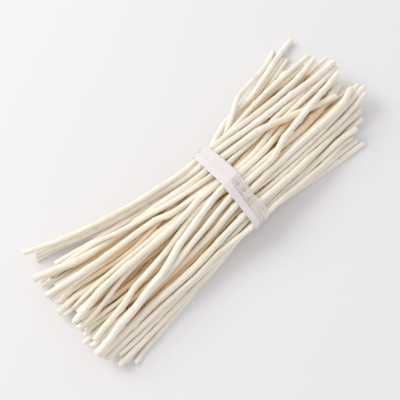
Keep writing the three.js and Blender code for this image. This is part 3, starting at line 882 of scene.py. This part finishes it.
def sheet_of_film(name, points, attributes, closed, pleats, seed):
    """pleats holds their width, length and depth."""
    sheet = line_object(name, points, attributes, closed)
    add_nodes(
        sheet,
        wound_film,
        Columns=FILM_COLUMNS,
        Pleat_width=pleats[0],
        Pleat_length=pleats[1],
        Pleat_depth=pleats[2],
        Seed=seed,
        Material=film,
    )
    thickness = sheet.modifiers.new("Thickness", "SOLIDIFY")
    thickness.thickness = FILM_THICK
    thickness.offset = 0
    bake_modifiers(sheet, keep=("weave", "cover"))
    sheet.data.shade_smooth()
    return sheet


def turn_of_film(name, low, high, lift, cover, pleats, seed):
    """One turn of the film.

    Its edges as shares of the band's width, its lift in mm and its cover, which is 1 where the
    film lies double, are functions of the turn in degrees: 0 on the +Y side, and 90 on top.
    """
    middle = ring[:, 1:3].mean(0)
    turns = np.degrees(np.arctan2(ring[:, 2] - middle[1], ring[:, 1] - middle[0]))
    wide = ring[:, 3] - ring[:, 0]
    attributes = {
        "low": ring[:, 0] + wide * np.array([low(t) for t in turns]),
        "high": ring[:, 0] + wide * np.array([high(t) for t in turns]),
        "lift": np.array([lift(t) for t in turns]) * MM,
        "cover": np.array([cover(t) for t in turns]),
        "out": np.c_[np.zeros(len(ring)), ring_out],
        "side": np.tile((1.0, 0.0, 0.0), (len(ring), 1)),
        "around": np.arange(len(ring)) * ring_length / len(ring),
    }
    points = np.c_[np.zeros(len(ring)), ring[:, 1:3]]
    return sheet_of_film(name, points, attributes, True, pleats, seed)


print("ready to wind the film")

# %% [markdown]
# Three small functions say how an edge, a lift or the cover changes on the way round: a slow
# wave, a stretch that differs from the rest, and no change at all.

# %% Changes on the way round


def wave(turn, size):
    """A slow wave, highest at a turn."""
    return lambda t: size * math.cos(math.radians(t - turn))


def between_turns(first, last, inside, outside, soft=6):
    """inside between two turns and outside elsewhere, with soft steps of so many degrees."""

    def value(t):
        share = min(max(min(t - first, last - t) / soft + 0.5, 0), 1)
        return outside + (inside - outside) * share * share * (3 - 2 * share)

    return value


def steady(value):
    return lambda t: value


print("half way up the step:", between_turns(0, 90, 1.0, 0.0)(0))

# %% [markdown]
# Four turns lie on each other. The inner one is milky on the +Y side and nearly clear elsewhere.
# A loose turn with a wavy edge lies over it, and under it on the +Y side. A doubled turn covers
# the +Y side and narrows to the -X edge elsewhere. Over all of them a ribbon runs round the -X
# edge.

# %% Winding the four turns

FAR_SIDE = (-20, 93)  # degrees, from under the +Y side to the top: the film lies double there
WAVES = 14  # of the loose turn's edge, all the way round
WIDE_PLEATS = (2.5 * MM, 60 * MM, 0.15 * MM)  # width, length and depth
FINE_PLEATS = (1.3 * MM, 60 * MM, 0.5 * MM)
lean, drift = wave(60, 0.05), wave(120, 0.05)

layers = [
    turn_of_film(
        "under",
        low=steady(0.03),
        high=steady(0.97),
        lift=steady(-0.62),
        cover=between_turns(*FAR_SIDE, 1.0, 0.1),
        pleats=FINE_PLEATS,
        seed=1.0,
    ),
    turn_of_film(
        "loose",
        low=lambda t: 0.38 + drift(t),
        high=lambda t: 0.97 + 0.03 * math.sin(math.radians(WAVES * t)),
        lift=between_turns(*FAR_SIDE, -0.85, -0.3),
        cover=steady(0.3),
        pleats=FINE_PLEATS,
        seed=3.0,
    ),
    turn_of_film(
        "doubled",
        low=steady(0.04),
        high=between_turns(-20, 91, 0.98, 0.38, 10),
        lift=steady(-0.42),
        cover=steady(0.95),
        pleats=WIDE_PLEATS,
        seed=2.5,
    ),
    turn_of_film(
        "ribbon",
        low=steady(0.0),
        high=lambda t: 0.38 + lean(t),
        lift=steady(-0.18),
        cover=steady(1.0),
        pleats=WIDE_PLEATS,
        seed=2.0,
    ),
]
print(len(layers), "turns of film")

# %% [markdown]
# The loose end of the strip stands off on the +Y side, pulled into a thin twisted thread. Its
# route is a list of points in mm, from the middle of the band's width, from its +Y side and from
# the table. It uses the same nodes: the sheet is narrow, and its side turns as it goes.

# %% The loose end

TAIL = [(-7, -1.5, 14), (3, 1, 15), (9, 4.5, 15.5), (16, 8, 15), (23, 9, 14), (29, 9.5, 12.5)]
TAIL_HALF = 0.55 * MM  # half its width in the middle
TAIL_ENDS = 0.25  # the share of its length in which it gets that wide
TAIL_THIN = 0.05  # how much of its section is left at the ends
TAIL_TWIST = 0.012  # metres to a radian


def loose_end():
    beside = np.array([ring[:, [0, 3]].mean(), ring[:, 1].max(), 0])
    route = np.array(TAIL) * MM + beside
    rows, at, total = spread(round_bends(route, np.ones(len(TAIL))), step=1 * MM)
    section = np.minimum(at, total - at) / (total * TAIL_ENDS)
    half = TAIL_HALF * np.sqrt(np.clip(section, TAIL_THIN, 1))
    turn = at / TAIL_TWIST
    attributes = {
        "low": -half,
        "high": half,
        "lift": np.zeros(len(at)),
        "cover": np.full(len(at), 0.7),
        "out": np.tile((0.0, 0.0, 1.0), (len(at), 1)),
        "side": np.c_[np.zeros(len(at)), np.cos(turn), np.sin(turn)],
        "around": at,
    }
    print(f"the loose end is {total:.3f} m long")
    return sheet_of_film("tail", rows[:, :3], attributes, False, WIDE_PLEATS, 4.0)


layers.append(loose_end())

# %% [markdown]
# The turns and the loose end are one strip, and the CAD tie is one solid, so they are joined
# into one object.

# %% Joining the film

bpy.ops.object.select_all(action="DESELECT")
for layer in layers:
    layer.select_set(True)
bpy.context.view_layer.objects.active = layers[0]
bpy.ops.object.join()
tie = bpy.context.view_layer.objects.active
tie.name = "film_tie"
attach(tie, "root")
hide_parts("tie_band")
print("the tie has", len(tie.data.polygons), "faces")

# %% [markdown]
# ## Table top
# The bundle lies on a seamless pale table top. It is one big square, with slow faint clouds in
# its colour. It is the stage and no part of the bundle.

# %% The table top

TABLE_HALF = 4.0
TABLE_CLOUD = (0.4, 0.4, 0.4)
GREY_TABLE = (0.735, 0.72, 0.73, 1)
PALE_TABLE = (0.75, 0.735, 0.745, 1)


def table_top():
    mesh = bpy.data.meshes.new("table_top")
    signs = ((-1, -1), (1, -1), (1, 1), (-1, 1))
    mesh.from_pydata([(i * TABLE_HALF, j * TABLE_HALF, 0) for i, j in signs], [], [(0, 1, 2, 3)])
    top = bpy.data.objects.new("table_top", mesh)
    bpy.context.scene.collection.objects.link(top)
    material, tree, shader = new_material("pale_table")
    place = made(tree, "ShaderNodeTexCoord", "Object")
    cloud = noise(tree, place, TABLE_CLOUD)
    wire(tree, shader.inputs["Base Color"], blend(tree, cloud, GREY_TABLE, PALE_TABLE))
    shader.inputs["Roughness"].default_value = 0.8
    shader.inputs["Specular IOR Level"].default_value = 0.2
    mesh.materials.append(material)
    return top


table_top()
print("the table is", 2 * TABLE_HALF, "m wide")

# %% [markdown]
# ## Light
# One large soft lamp above one side gives each twig a light and a shaded flank and lays a soft
# shadow on the other side. A small lamp would draw hard edges. A pale room fills the rest, so
# that no gap turns black.

# %% Lights


def aim(obj, place, target):
    """Puts an object at place and points it at target."""
    obj.location = place
    view = Vector(target) - Vector(place)
    obj.rotation_euler = view.to_track_quat("-Z", "Y").to_euler()


def soft_light(name, place, size, power, colour):
    """A round lamp that shines on the bundle."""
    data = bpy.data.lights.new(name, "AREA")
    data.shape = "DISK"
    data.size = size
    data.energy = power
    data.color = colour
    lamp = bpy.data.objects.new(name, data)
    bpy.context.scene.collection.objects.link(lamp)
    aim(lamp, place, (0, 0, 0))


def pale_room(colour, strength):
    world = bpy.data.worlds.new("pale_room")
    world.use_nodes = True
    background = world.node_tree.nodes["Background"]
    background.inputs["Color"].default_value = (*colour, 1)
    background.inputs["Strength"].default_value = strength
    bpy.context.scene.world = world


soft_light("window", (-0.72, 1.50, 1.30), size=1.5, power=34, colour=(1.0, 0.985, 0.94))
pale_room((0.985, 0.97, 1.0), strength=0.70)
print("one soft light and a pale room")

# %% [markdown]
# Standard keeps the pale colours as they are, where a filmic view would grey them. A gamma over
# 1 lifts the middle tones, so that the wood looks bleached and its shaded flanks stay open.

# %% Tones

bpy.context.scene.view_settings.view_transform = "Standard"
bpy.context.scene.view_settings.gamma = 1.4
print("gamma", round(bpy.context.scene.view_settings.gamma, 2))

# %% [markdown]
# ## Camera
# The camera stands off one corner and looks down steeply. It is 0.7 m away, twice the length of
# the bundle, with a fairly long lens, so the near ends of the twigs are drawn only a little
# larger than the far ones.

# %% Camera


def camera(azimuth, elevation, distance, target, lens):
    data = bpy.data.cameras.new("camera")
    data.lens = lens
    data.sensor_width = 36
    data.clip_start = 0.01
    eye = bpy.data.objects.new("camera", data)
    bpy.context.scene.collection.objects.link(eye)
    a, e = math.radians(azimuth), math.radians(elevation)
    back = (math.sin(a) * math.cos(e), -math.cos(a) * math.cos(e), math.sin(e))
    aim(eye, [t + distance * b for t, b in zip(target, back)], target)
    bpy.context.scene.camera = eye


camera(azimuth=-42.5, elevation=68, distance=0.70, target=(-0.0224, -0.0057, 0.030), lens=73.9)
print("the camera looks down at 68 degrees")
